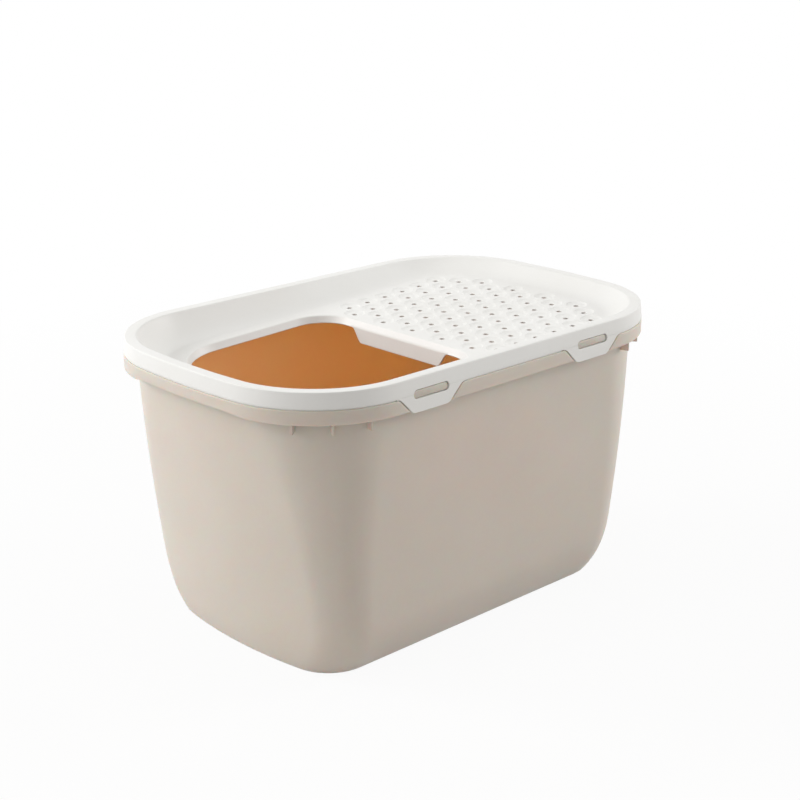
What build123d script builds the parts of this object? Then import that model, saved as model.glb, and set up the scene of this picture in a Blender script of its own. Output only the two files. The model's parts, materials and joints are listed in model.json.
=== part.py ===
from build123d import *

import math
import os

# Top entry litter box: a tapered bin, and a lid with an entry opening and a perforated landing.
# Millimetres, +Z up. X runs along the length, with the entry opening towards -X.
# The origin is on the floor, under the middle of the bin.

# ---- overall -----------------------------------------------------------------------------
overall_length = 585.0
overall_width = 375.0
overall_height = 328.0

# Plan of the rim: straight sides, gently bowed ends and round corners.
rim_corner_radius = 123.0
rim_end_radius = 840.0

# ---- bin ---------------------------------------------------------------------------------
lid_skirt_height = 18.5
wall = 2.8
floor_thickness = 3.2
rim_overhang = 12.4             # from the rim skirt's outer face in to the wall's
rim_thickness = 2.6
rim_skirt_depth = 15.0
end_draft = 0.154               # inward lean of the walls, in mm for each mm down
side_draft = 0.058
end_roll_radius = 132.0         # the walls curl in towards the base
end_roll_height = 35.0
side_roll_radius = 119.0
side_roll_height = 73.0
base_corner_radius = 50.0
corner_growth = 2.1             # how late up the wall the corner radius opens out
wall_end_radius = 560.0
wall_steps = 12                 # sections up the wall

grip_half_length = 95.0         # shallow relief under the rim at each end, for the fingers
grip_rise = 2.8
grip_blend = 30.0               # each sloping end of the relief
grip_corner = 200.0

gusset_angles = (37.0, 55.0, 73.0)      # round each front corner, from the end towards the side
gusset_thickness = 2.4
gusset_drop = 11.5              # below the rim skirt
gusset_inset = 3.5              # from the rim skirt's outer face

# ---- lid ---------------------------------------------------------------------------------
lid_thickness = 2.6
lid_taper = 1.5                 # the skirt leans in by this much at its top
rim_band = 13.0                 # flat top of the rim
rim_edge_radius = 0.8
band_edge_radius = 2.0
bowl_run = 31.0                 # from the band in to the flat of the deck
deck_depth = 25.4               # under the rim, at the middle of the lid
deck_slope = 0.035              # the landing rises towards +X
bowl_profile = ((-0.03, -0.05), (0.22, 0.36), (0.46, 0.69), (0.7, 0.9), (0.87, 0.976), (1.0, 1.0))

entry_back = 13.5               # the entry opening's edge beside the landing, along X
entry_end_margin = 21.0         # of deck left at the opening's far end
entry_side_margin = 13.5        # of deck left at each side of it
entry_front_radius = 75.0
entry_back_radius = 42.0
lip_depth = 9.0
lip_lean = 3.5                  # inward, over the lip's depth
lip_edge_radius = 2.5
lip_edge_steps = 4
apron_depth = 25.5              # the deeper guard where the opening meets the landing
apron_setback = 53.5            # in from the opening's sides, at the apron's top
apron_flare = 13.7              # narrower than that at its bottom
apron_corner = 7.0

hole_radius = 3.2
hole_pitch_x = 15.0
hole_half_pitch_y = 23.7
hole_fan = 0.005                # the rows spread by this share with each column
hole_bow_radius = 2560.0        # the columns bow like the rim's end
hole_setback = 19.8             # first column, behind the entry opening
hole_margin = 9.0               # clear of the deck's edge
dimple_radius = 12.5
dimple_depth = 2.0
dimple_over = 0.4               # how far a dish's cutter stands above the deck

# ---- latch tabs --------------------------------------------------------------------------
tab_setback = 42.6              # from the end of the straight side to a tab's middle
tab_top_half = 43.2
tab_bottom_half = 25.0
tab_drop = 18.0                 # below the lid's lower edge
tab_corner = 9.0
tab_shoulder = 5.0              # ledge above the rim at each side of a tab
tab_lift = 0.5                  # under that ledge, so that the tab can swing
tab_root_rise = 1.5             # living hinge, above the lid's lower edge
slot_length = 49.5
slot_height = 9.6
slot_corner = 3.6
slot_rise = 1.0                 # the slot's middle, above the lid's lower edge
tab_gap = 0.3                   # running clearance round a tab
pocket_gap = 1.2                # visible gap beside a tab
lug_gap = 0.4                   # between a tab's inner face and the lug behind it
lug_thickness = 2.4
lug_shrink = 0.8                # how much smaller than its slot the lug is, all round

# ---- derived -----------------------------------------------------------------------------
half_length = overall_length / 2
half_width = overall_width / 2
rim_top = overall_height - lid_skirt_height
skirt_bottom = rim_top - rim_skirt_depth
tab_root = rim_top + tab_root_rise
tab_root_half = tab_top_half + tab_shoulder
slot_middle = rim_top + slot_rise
pocket_y = half_width - lid_thickness - lug_gap
lip_back = entry_back - lip_lean
deck_inset = lid_taper + rim_band + bowl_run
entry_front = deck_inset + entry_end_margin - half_length
entry_half_width = half_width - deck_inset - entry_side_margin
apron_top_half = entry_half_width - apron_setback
apron_bottom_half = apron_top_half - apron_flare


def corner_centre(length_half, width_half, corner, end_radius):
    """Centre of the arc at a corner of a plan with bowed ends."""
    centre_y = width_half - corner
    centre_x = length_half - end_radius + math.sqrt((end_radius - corner)**2 - centre_y**2)
    return centre_x, centre_y


def plan_face(length_half, width_half, corner, end_radius, plane):
    """Rounded rectangle with straight sides and bowed ends."""
    side_x, centre_y = corner_centre(length_half, width_half, corner, end_radius)
    turn = math.atan2(centre_y, side_x - length_half + end_radius)
    end_x = side_x + corner * math.cos(turn)
    end_y = centre_y + corner * math.sin(turn)
    bend = (turn + math.pi / 2) / 2
    mid_x = side_x + corner * math.cos(bend)
    mid_y = centre_y + corner * math.sin(bend)
    with BuildSketch(plane) as plan:
        with BuildLine():
            Line((side_x, width_half), (-side_x, width_half))
            ThreePointArc((-side_x, width_half), (-mid_x, mid_y), (-end_x, end_y))
            ThreePointArc((-end_x, end_y), (-length_half, 0), (-end_x, -end_y))
            ThreePointArc((-end_x, -end_y), (-mid_x, -mid_y), (-side_x, -width_half))
            Line((-side_x, -width_half), (side_x, -width_half))
            ThreePointArc((side_x, -width_half), (mid_x, -mid_y), (end_x, -end_y))
            ThreePointArc((end_x, -end_y), (length_half, 0), (end_x, end_y))
            ThreePointArc((end_x, end_y), (mid_x, mid_y), (side_x, width_half))
        make_face()
    return plan.sketch.face()


def rim_face(inset, plane):
    """Plan of the rim, moved in by inset, on a plane whose origin is on the Z axis."""
    return plan_face(
        half_length - inset, half_width - inset, rim_corner_radius - inset, rim_end_radius - inset, plane
    )


def roll_in(height, radius, roll_height):
    """How far a wall has curled in at a height, by the arc that ends at roll_height."""
    below = max(roll_height - height, 0.0)
    return radius - math.sqrt(radius**2 - below**2)


def wall_face(height, inset):
    """Plan of the bin's outer wall at a height, moved in by inset."""
    down = rim_top - height
    length_half = half_length - rim_overhang - end_draft * down - roll_in(height, end_roll_radius, end_roll_height)
    width_half = half_width - rim_overhang - side_draft * down - roll_in(height, side_roll_radius, side_roll_height)
    top_corner = rim_corner_radius - rim_overhang
    corner = base_corner_radius + (top_corner - base_corner_radius) * (height / rim_top)**corner_growth
    return plan_face(
        length_half - inset, width_half - inset, corner - inset, wall_end_radius - inset, Plane.XY.offset(height)
    )


def wall_levels(bottom):
    """Evenly spaced heights for the wall's sections."""
    return [bottom + (rim_top - bottom) * step / wall_steps for step in range(wall_steps + 1)]


def deck_plane(share, drop=0.0):
    """Plane that is the rim's top at share 0 and the sloping deck at share 1."""
    slope = deck_slope * share
    return Plane(
        origin=(0, 0, overall_height - deck_depth * share - drop), x_dir=(1, 0, slope), z_dir=(-slope, 0, 1)
    )


def deck_height(x):
    """Height of the deck's upper face."""
    return overall_height - deck_depth + deck_slope * x


def bowl_faces(grow, drop):
    """Sections of the bowl from the rim's band down to the deck."""
    first = lid_taper + rim_band
    return [rim_face(first + bowl_run * run - grow, deck_plane(share, drop)) for run, share in bowl_profile]


def on_landing(x, y):
    """Whether a hole's centre lies far enough inside the deck's edge."""
    inset = deck_inset + hole_margin
    edge_x = half_length - inset
    edge_y = half_width - inset
    corner = rim_corner_radius - inset
    end_radius = rim_end_radius - inset
    centre_x, centre_y = corner_centre(edge_x, edge_y, corner, end_radius)
    in_corner = x < centre_x or abs(y) < centre_y or math.hypot(x - centre_x, abs(y) - centre_y) < corner
    return abs(y) < edge_y and math.hypot(x - edge_x + end_radius, y) < end_radius and in_corner


def skirt_lean(height):
    """How far the lid's skirt leans in at a height."""
    return lid_taper * max(height - rim_top, 0.0) / lid_skirt_height


def skirt_face(height, inset):
    """Plan of the lid's skirt at a height, moved in by inset."""
    return rim_face(skirt_lean(height) + inset, Plane.XY.offset(height))


def entry_face(inset, plane):
    """Outline of the entry opening, moved in by inset."""
    with BuildSketch(plane) as outline:
        with Locations(((entry_front + entry_back) / 2, 0)):
            Rectangle(entry_back - entry_front - 2 * inset, 2 * (entry_half_width - inset))
        fillet(outline.vertices().group_by(Axis.X)[0], entry_front_radius - inset)
        fillet(outline.vertices().group_by(Axis.X)[-1], entry_back_radius - inset)
    return outline.sketch.face()


def front_plane(x, y):
    """Upright plane at x and y that faces the front."""
    return Plane((x, y, 0), x_dir=(1, 0, 0), z_dir=(0, -1, 0))


def tab_outline(plane, grow, bottom, shelf, top):
    """Outline of a latch tab: sloping sides, a ledge and a root, grown sideways to leave a gap."""
    slope = (tab_top_half - tab_bottom_half) / tab_drop
    side = tab_top_half + math.hypot(1.0, slope) * grow
    low = side + slope * (bottom - rim_top)
    high = side + slope * (shelf - rim_top)
    wide = tab_root_half + grow
    with BuildSketch(plane) as outline:
        with BuildLine():
            Polyline(
                (-low, bottom),
                (low, bottom),
                (high, shelf),
                (wide, shelf),
                (wide, top),
                (-wide, top),
                (-wide, shelf),
                (-high, shelf),
                close=True,
            )
        make_face()
        fillet(outline.vertices().group_by(Axis.Y)[1].sort_by(Axis.X)[1:-1], tab_corner - grow)
    return outline.sketch.face()


rim_centre = corner_centre(half_length, half_width, rim_corner_radius, rim_end_radius)
tab_places = (tab_setback - rim_centre[0], rim_centre[0] - tab_setback)

# ---- bin ---------------------------------------------------------------------------------
with BuildPart() as bin_outer:
    loft(sections=[wall_face(level, 0) for level in wall_levels(0)])

with BuildPart() as bin_inner:
    loft(sections=[wall_face(level, wall) for level in wall_levels(floor_thickness)])
    extrude(wall_face(rim_top, wall), amount=rim_thickness, dir=(0, 0, 1))

with BuildPart() as rim_ring:
    extrude(rim_face(0, Plane.XY.offset(skirt_bottom)), amount=rim_skirt_depth, dir=(0, 0, 1))
    extrude(
        rim_face(rim_thickness, Plane.XY.offset(skirt_bottom)),
        amount=rim_skirt_depth - rim_thickness,
        dir=(0, 0, 1),
        mode=Mode.SUBTRACT,
    )

# Behind each latch tab the skirt steps back to a pad, which carries the lug that fills the tab's slot.
pad_width = 2 * (tab_root_half + pocket_gap + rim_thickness)
pad_y = pocket_y - lug_thickness
lug_top = slot_middle + slot_height / 2 - lug_shrink
lug_width = slot_length - 2 * lug_shrink
lug_y = half_width - skirt_lean(lug_top) - lid_thickness - lug_gap - lug_thickness

with BuildPart() as pocket_pads:
    with BuildSketch(front_plane(0, -pad_y)):
        with Locations(*[(place, (skirt_bottom + rim_top) / 2) for place in tab_places]):
            Rectangle(pad_width, rim_skirt_depth)
    extrude(amount=lug_thickness + rim_thickness / 2)
    mirror(about=Plane.XZ)

with BuildPart() as lugs:
    with BuildSketch(front_plane(0, -lug_y)):
        with Locations(*[(place, (skirt_bottom + lug_top) / 2) for place in tab_places]):
            Rectangle(lug_width, lug_top - skirt_bottom)
    extrude(amount=lug_thickness)
    fillet(lugs.edges().filter_by(Axis.Y).group_by(Axis.Z)[-1], slot_corner - lug_shrink)
    mirror(about=Plane.XZ)

with BuildPart() as pocket_cuts:
    for place in tab_places:
        pocket = tab_outline(
            front_plane(place, -pocket_y), pocket_gap, skirt_bottom - pocket_gap, rim_top, rim_top + pocket_gap
        )
        extrude(pocket, amount=2 * rim_thickness, dir=(0, -1, 0))
    mirror(about=Plane.XZ)

# A relief under the rim at each end, for the fingers.
with BuildPart() as grip_cuts:
    relief_bottom = skirt_bottom - grip_rise
    with BuildSketch(Plane.YZ.offset(half_length - rim_overhang + wall / 2)) as relief:
        with BuildLine():
            Polyline(
                (-grip_half_length, relief_bottom),
                (grip_half_length, relief_bottom),
                (grip_half_length, skirt_bottom),
                (grip_half_length - grip_blend, skirt_bottom + grip_rise),
                (grip_blend - grip_half_length, skirt_bottom + grip_rise),
                (-grip_half_length, skirt_bottom),
                close=True,
            )
        make_face()
        fillet(relief.vertices().group_by(Axis.Y)[-1], grip_corner)
    extrude(amount=rim_overhang)
    mirror(about=Plane.YZ)

# Gussets between the rim skirt and the wall, round the two front corners.
with BuildPart() as gussets:
    gusset_inner = rim_corner_radius - rim_overhang - wall - gusset_inset
    for angle in gusset_angles:
        out = Vector(-math.cos(math.radians(angle)), -math.sin(math.radians(angle)), 0)
        with BuildSketch(Plane((-rim_centre[0], -rim_centre[1], 0), x_dir=out, z_dir=(out.Y, -out.X, 0))):
            with BuildLine():
                Polyline(
                    (gusset_inner, skirt_bottom - gusset_drop),
                    (rim_corner_radius - gusset_inset, skirt_bottom - gusset_drop),
                    (rim_corner_radius - gusset_inset, rim_top - rim_thickness / 2),
                    (gusset_inner, rim_top - rim_thickness / 2),
                    close=True,
                )
            make_face()
        extrude(amount=gusset_thickness / 2, both=True)
    mirror(about=Plane.YZ)

with BuildPart() as litter_bin:
    add(rim_ring.part)
    add(grip_cuts.part, mode=Mode.SUBTRACT)
    add(pocket_pads.part)
    add(pocket_cuts.part, mode=Mode.SUBTRACT)
    add(lugs.part)
    add(bin_outer.part)
    add(gussets.part)
    add(bin_inner.part, mode=Mode.SUBTRACT)

litter_bin.part.label = "bin"

# ---- lid ---------------------------------------------------------------------------------
bowl_slant = math.atan2(deck_depth, bowl_run)
bowl_grow = lid_thickness * math.tan(bowl_slant / 2)
under_rim = overall_height - lid_thickness

with BuildPart() as bowl_outer:
    loft(sections=bowl_faces(bowl_grow, lid_thickness))

with BuildPart() as bowl_inner:
    loft(sections=bowl_faces(0, 0))

with BuildPart() as lip_outer:
    loft(
        sections=[
            entry_face(-lid_thickness, deck_plane(1, lid_thickness / 2)),
            entry_face(lip_lean - lid_thickness, deck_plane(1, lip_depth)),
        ],
        ruled=True,
    )

# The opening's edge is rounded from the deck down to the leaning lip.
lip_slope = lip_lean / lip_depth
lip_turn = math.pi / 2 - math.atan(lip_slope)
lip_start = lip_edge_radius * math.tan(lip_turn / 2)
lip_profile = [(-lip_start, -lid_thickness)]
for step in range(lip_edge_steps + 1):
    turned = lip_turn * step / lip_edge_steps
    rounded = lip_edge_radius * (1 - math.cos(turned))
    lip_profile.append((lip_edge_radius * math.sin(turned) - lip_start, rounded))
lip_profile.append((lip_lean + lip_slope * lid_thickness, lip_depth + lid_thickness))

with BuildPart() as lip_inner:
    loft(sections=[entry_face(inset, deck_plane(1, drop)) for inset, drop in lip_profile], ruled=True)

with BuildPart() as apron:
    apron_top = deck_height(lip_back) - lip_depth
    apron_bottom = deck_height(lip_back) - apron_depth
    with BuildSketch(Plane.YZ.offset(lip_back)) as guard:
        with BuildLine():
            Polyline(
                (-apron_bottom_half, apron_bottom),
                (apron_bottom_half, apron_bottom),
                (apron_top_half, apron_top),
                (apron_top_half + apron_corner, apron_top),
                (apron_top_half + apron_corner, apron_top + 1.0),
                (-apron_top_half - apron_corner, apron_top + 1.0),
                (-apron_top_half - apron_corner, apron_top),
                (-apron_top_half, apron_top),
                close=True,
            )
        make_face()
        fillet(guard.vertices().group_by(Axis.Y)[0], apron_corner)
        fillet(guard.vertices().group_by(Axis.Y)[-2].sort_by(Axis.X)[1:-1], apron_corner)
    extrude(amount=lid_thickness)

# Staggered columns of holes that fan out and bow towards the rim's end.
hole_first = entry_back + hole_setback
hole_last_column = int((half_length - hole_first) / hole_pitch_x)
hole_last_row = int(half_width / hole_half_pitch_y)
holes = []
for column in range(hole_last_column + 1):
    for row in range(-hole_last_row, hole_last_row + 1):
        y = row * hole_half_pitch_y * (1 + hole_fan * column)
        x = hole_first + hole_pitch_x * column - y**2 / (2 * hole_bow_radius)
        if (column + row) % 2 == 0 and on_landing(x, y):
            holes.append((x, y))

with BuildPart() as dimple:
    dish_radius = (dimple_radius**2 + dimple_depth**2) / (2 * dimple_depth)
    Sphere(dish_radius)
    with Locations((0, 0, -dish_radius)):
        Box(4 * dimple_radius, 4 * dimple_radius, 2 * dimple_depth + dimple_over, mode=Mode.INTERSECT)

with BuildPart() as lid:
    loft(sections=[skirt_face(rim_top, 0), skirt_face(overall_height, 0)], ruled=True)
    fillet(lid.edges().group_by(Axis.Z)[-1], rim_edge_radius)
    loft(
        sections=[skirt_face(rim_top, lid_thickness), skirt_face(under_rim, lid_thickness)],
        ruled=True,
        mode=Mode.SUBTRACT,
    )
    add(bowl_outer.part)
    add(bowl_inner.part, mode=Mode.SUBTRACT)
    fillet(lid.edges(Select.LAST).group_by(Axis.Z)[-1], band_edge_radius)
    add(lip_outer.part)
    add(lip_inner.part, mode=Mode.SUBTRACT)
    add(apron.part)
    with Locations(*[deck_plane(1) * Pos(x, y, dish_radius - dimple_depth) for x, y in holes]):
        add(dimple.part, mode=Mode.SUBTRACT)
    with BuildSketch(deck_plane(1, 2 * lid_thickness)):
        with Locations(*holes):
            Circle(hole_radius)
    extrude(amount=3 * lid_thickness, mode=Mode.SUBTRACT)
    for side in (-1, 1):
        with BuildSketch(front_plane(0, side * half_width + lid_thickness + lid_taper)):
            with Locations(*[(place, rim_top) for place in tab_places]):
                Rectangle(2 * (tab_root_half + tab_gap), 2 * tab_root_rise)
            with Locations(*[(place, slot_middle) for place in tab_places]):
                RectangleRounded(slot_length, slot_height, slot_corner)
        extrude(amount=2 * (lid_thickness + lid_taper), mode=Mode.SUBTRACT)

lid.part.label = "lid"


# ---- latch tabs --------------------------------------------------------------------------
def latch_tab(place):
    """A latch tab on the front side of the lid."""
    bottom = rim_top - tab_drop
    root_y = skirt_lean(tab_root) - half_width
    with BuildPart() as tab:
        with BuildSketch(Plane.YZ.offset(place)):
            with BuildLine():
                Polyline(
                    (-half_width, bottom),
                    (-half_width, rim_top),
                    (root_y, tab_root),
                    (root_y + lid_thickness, tab_root),
                    (lid_thickness - half_width, rim_top),
                    (lid_thickness - half_width, bottom),
                    close=True,
                )
            make_face()
        extrude(amount=tab_root_half, both=True)
        outline = tab_outline(front_plane(place, 0), 0, bottom, rim_top + tab_lift, tab_root)
        extrude(outline, amount=overall_width, dir=(0, -1, 0), mode=Mode.INTERSECT)
        fillet(tab.edges().filter_by(Axis.Y).group_by(Axis.Z)[0], tab_corner)
        with BuildSketch(front_plane(place, 0)):
            with Locations((0, slot_middle)):
                RectangleRounded(slot_length, slot_height, slot_corner)
        extrude(amount=overall_width, mode=Mode.SUBTRACT)
    return tab.part


with BuildPart() as latch_tab_front_left:
    add(latch_tab(tab_places[0]))

latch_tab_front_left.part.label = "latch_tab_front_left"

with BuildPart() as latch_tab_front_right:
    add(latch_tab(tab_places[1]))

latch_tab_front_right.part.label = "latch_tab_front_right"

with BuildPart() as latch_tab_rear_left:
    mirror(latch_tab_front_left.part, about=Plane.XZ)

latch_tab_rear_left.part.label = "latch_tab_rear_left"

with BuildPart() as latch_tab_rear_right:
    mirror(latch_tab_front_right.part, about=Plane.XZ)

latch_tab_rear_right.part.label = "latch_tab_rear_right"

os.makedirs("parts", exist_ok=True)
export_step(litter_bin.part, "parts/bin.step")
export_step(lid.part, "parts/lid.step")
export_step(latch_tab_front_left.part, "parts/latch_tab_front_left.step")
export_step(latch_tab_front_right.part, "parts/latch_tab_front_right.step")
export_step(latch_tab_rear_left.part, "parts/latch_tab_rear_left.step")
export_step(latch_tab_rear_right.part, "parts/latch_tab_rear_right.step")
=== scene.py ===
import json
import math

import bmesh
import bpy
from mathutils import Matrix, Vector

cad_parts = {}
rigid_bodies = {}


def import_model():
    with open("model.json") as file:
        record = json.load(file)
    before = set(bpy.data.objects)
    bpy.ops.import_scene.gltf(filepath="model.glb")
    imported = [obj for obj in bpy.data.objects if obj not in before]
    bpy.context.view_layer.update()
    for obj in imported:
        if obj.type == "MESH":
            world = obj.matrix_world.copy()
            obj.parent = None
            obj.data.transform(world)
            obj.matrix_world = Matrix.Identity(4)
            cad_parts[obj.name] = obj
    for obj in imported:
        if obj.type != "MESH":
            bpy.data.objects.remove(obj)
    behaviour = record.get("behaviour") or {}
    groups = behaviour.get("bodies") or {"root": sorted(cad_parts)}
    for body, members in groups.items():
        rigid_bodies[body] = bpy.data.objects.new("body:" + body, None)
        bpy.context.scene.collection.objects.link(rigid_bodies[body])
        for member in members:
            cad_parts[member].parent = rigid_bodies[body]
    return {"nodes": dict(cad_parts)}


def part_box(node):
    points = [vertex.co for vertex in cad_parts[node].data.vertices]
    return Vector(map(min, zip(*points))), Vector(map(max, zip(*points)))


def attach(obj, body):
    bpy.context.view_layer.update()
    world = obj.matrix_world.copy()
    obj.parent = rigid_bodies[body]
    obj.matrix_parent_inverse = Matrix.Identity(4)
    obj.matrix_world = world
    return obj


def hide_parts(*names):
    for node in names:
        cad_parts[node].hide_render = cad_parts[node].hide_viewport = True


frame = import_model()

# Top entry litter box: a beige bin with an orange-brown inside, under a white lid with an entry
# opening, a perforated landing and four latch tabs. Metres, +Z up, the opening towards -X.

for thing in list(bpy.data.objects):
    if thing.name in ("Cube", "Light", "Camera"):     # what an empty file starts with
        bpy.data.objects.remove(thing)
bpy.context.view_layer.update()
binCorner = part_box("bin")[1]
halfLength = binCorner.x
halfWidth = binCorner.y
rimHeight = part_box("lid")[1].z


class Wire:
    # One socket of a node tree. Arithmetic on it adds Math nodes.
    def __init__(self, tree, socket=None):
        self.tree = tree
        self.socket = socket

    def node(self, kind, settings=None, inputs=None, output=0):
        # Adds a node. Its sockets are given values, wires or lists of wires.
        new = self.tree.nodes.new(kind)
        for name, value in (settings or {}).items():
            setattr(new, name, value)
        for name, value in (inputs or {}).items():
            if isinstance(value, (Wire, list)):
                for wire in value if isinstance(value, list) else [value]:
                    self.tree.links.new(wire.socket, new.inputs[name])
            else:
                new.inputs[name].default_value = value
        return Wire(self.tree, new.outputs[output] if new.outputs else None)

    def other(self, output):
        # Another output of the same node.
        return Wire(self.tree, self.socket.node.outputs[output])

    def maths(self, operation, *values):
        return self.node("ShaderNodeMath", {"operation": operation}, dict(enumerate(values)))

    def vector(self, **axes):
        return self.node("ShaderNodeCombineXYZ", inputs=axes)

    def __add__(self, other):
        return self.maths("ADD", self, other)

    def __radd__(self, other):
        return self.maths("ADD", other, self)

    def __sub__(self, other):
        return self.maths("SUBTRACT", self, other)

    def __rsub__(self, other):
        return self.maths("SUBTRACT", other, self)

    def __mul__(self, other):
        return self.maths("MULTIPLY", self, other)

    def __rmul__(self, other):
        return self.maths("MULTIPLY", other, self)

    def __truediv__(self, other):
        return self.maths("DIVIDE", self, other)

    def __rtruediv__(self, other):
        return self.maths("DIVIDE", other, self)

    def __gt__(self, other):
        return self.maths("GREATER_THAN", self, other)

    def __lt__(self, other):
        return self.maths("LESS_THAN", self, other)


# the rim's plan, which the lid and the bin share
rimPlan = {
    "cornerRadius": 0.123,
    "endRadius": 0.840,      # the short sides bow out a little
    "endSteps": 14,
    "cornerSteps": 26,
    "sideSteps": 26,
}
# how many steps a rounding has
arcSteps = {
    "fine": 3,
    "edge": 4,
    "box": 5,
    "soft": 6,
    "lip": 7,
    "tab": 8,
}


def rimOutline(inset):
    # Plan of the rim, moved in by inset.
    corner = rimPlan["cornerRadius"] - inset
    return planOutline(halfLength - inset, halfWidth - inset, corner, rimPlan["endRadius"] - inset)


def cornerX(length, width, corner, endRadius):
    # Where a round corner has its middle, which is where the straight side ends.
    return length - endRadius + math.sqrt((endRadius - corner) ** 2 - (width - corner) ** 2)


def planOutline(length, width, corner, endRadius):
    # Straight sides, bowed ends and round corners, counterclockwise from the middle of the +X end.
    centreY = width - corner
    centreX = cornerX(length, width, corner, endRadius)
    turn = math.atan2(centreY, centreX - length + endRadius)
    quarter = []
    for step in range(rimPlan["endSteps"]):
        angle = turn * step / rimPlan["endSteps"]
        quarter.append((length - endRadius + endRadius * math.cos(angle), endRadius * math.sin(angle)))
    for step in range(rimPlan["cornerSteps"]):
        angle = turn + (math.pi / 2 - turn) * step / rimPlan["cornerSteps"]
        quarter.append((centreX + corner * math.cos(angle), centreY + corner * math.sin(angle)))
    for step in range(rimPlan["sideSteps"] + 1):
        quarter.append((centreX * (1 - step / rimPlan["sideSteps"]), width))
    back = quarter[::-1]
    return (
        quarter[:-1]
        + [(-x, y) for x, y in back[:-1]]
        + [(-x, -y) for x, y in quarter[:-1]]
        + [(x, -y) for x, y in back[:-1]]
    )


def arc(radius, start, end, steps):
    # Points of an arc about the origin, angles in degrees.
    angles = [math.radians(start + (end - start) * step / steps) for step in range(steps + 1)]
    return [(radius * math.cos(angle), radius * math.sin(angle)) for angle in angles]


def ease(share):
    # From 0 to 1 without a kink at either end.
    share = min(max(share, 0.0), 1.0)
    return share * share * (3 - 2 * share)


straightEnd = cornerX(halfLength, halfWidth, rimPlan["cornerRadius"], rimPlan["endRadius"])


def skinRings(mesh, rings):
    # Faces between each ring of points and the next one.
    loops = [[mesh.verts.new(point) for point in ring] for ring in rings]
    for first, second in zip(loops, loops[1:]):
        for i in range(len(first)):
            j = (i + 1) % len(first)
            mesh.faces.new((first[i], second[i], second[j], first[j]))
    return loops


def makeObject(name, mesh):
    # A new object from a bmesh, smooth shaded, at the origin.
    data = bpy.data.meshes.new(name)
    mesh.to_mesh(data)
    mesh.free()
    data.shade_smooth()
    piece = bpy.data.objects.new(name, data)
    bpy.context.scene.collection.objects.link(piece)
    return piece


def prism(name, outline, levels):
    # A closed solid with an outline of (x, z) points, counterclockwise as seen from the front, for
    # each level along Y. Levels run from the front to the back.
    mesh = bmesh.new()
    rings = [[(x, y, z) for x, z in outline(grow)] for y, grow in levels]
    loops = skinRings(mesh, rings)
    mesh.faces.new(loops[0])
    mesh.faces.new(loops[-1][::-1])
    bmesh.ops.recalc_face_normals(mesh, faces=mesh.faces)
    return makeObject(name, mesh)


def turned(name, profile, sides):
    # A closed solid turned round the Z axis, from (radius, height) points that run down.
    mesh = bmesh.new()
    rings = []
    for out, height in profile:
        rings.append([(x, y, height) for x, y in arc(out, 0, 360, sides)[:-1]])
    loops = skinRings(mesh, rings)
    mesh.faces.new(loops[0])
    mesh.faces.new(loops[-1][::-1])
    return makeObject(name, mesh)


def roundedBox(x, low, high, radius):
    # Outline of a box from -x to x and from low to high, with rounded corners.
    points = []
    for centreX, centreZ, turn in (
        (x - radius, low + radius, -90), (x - radius, high - radius, 0),
        (radius - x, high - radius, 90), (radius - x, low + radius, 180),
    ):
        for across, up in arc(radius, turn, turn + 90, arcSteps["box"]):
            points.append((centreX + across, centreZ + up))
    return points


def applyModifiers(piece):
    # Replaces a piece's mesh by what its modifiers make of it.
    graph = bpy.context.evaluated_depsgraph_get()
    result = bpy.data.meshes.new_from_object(piece.evaluated_get(graph))
    piece.modifiers.clear()
    piece.data = result
    result.name = piece.name


treeShape = {
    "crispAngle": 32.0,      # degrees past which an edge shows
    "mergeWithin": 0.00001,
    "markWithin": 0.1,       # how near a mark has to be to its number
}


def newTree(name, inputs):
    # A tree with named inputs. Returns it, a wire to start from and a lookup of its inputs.
    tree = bpy.data.node_groups.new(name, "GeometryNodeTree")
    for label, kind in inputs:
        tree.interface.new_socket(name=label, in_out="INPUT", socket_type="NodeSocket" + kind)
    tree.interface.new_socket(name="Piece", in_out="OUTPUT", socket_type="NodeSocketGeometry")
    start = Wire(tree).node("NodeGroupInput")
    return tree, start, start.other


def boolean(start, operation, first, second):
    # The edges that the operation makes are its other output.
    meshes = {"Mesh 2": [first, second]} if operation == "UNION" else {"Mesh 1": first, "Mesh 2": second}
    return start.node("GeometryNodeMeshBoolean", {"operation": operation, "solver": "MANIFOLD"}, meshes)


def copies(start, points, thing, rotation):
    # A copy of an object input on each point, as real geometry.
    shape = start.node("GeometryNodeObjectInfo", inputs={"Object": thing}, output="Geometry")
    placed = start.node(
        "GeometryNodeInstanceOnPoints", inputs={"Points": points, "Instance": shape, "Rotation": rotation}
    )
    return start.node("GeometryNodeRealizeInstances", inputs={"Geometry": placed})


def onLatches(start, latchX, thing):
    # Copies at the four latches. The thing is modelled at the middle of the front side.
    index = start.node("GeometryNodeInputIndex")
    side = 1 - 2 * start.maths("MODULO", index, 2)
    rear = index > 1.5
    place = start.vector(X=latchX * side)
    points = start.node("GeometryNodePoints", inputs={"Count": 4, "Position": place})
    return copies(start, points, thing, start.vector(Z=rear * math.pi))


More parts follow.
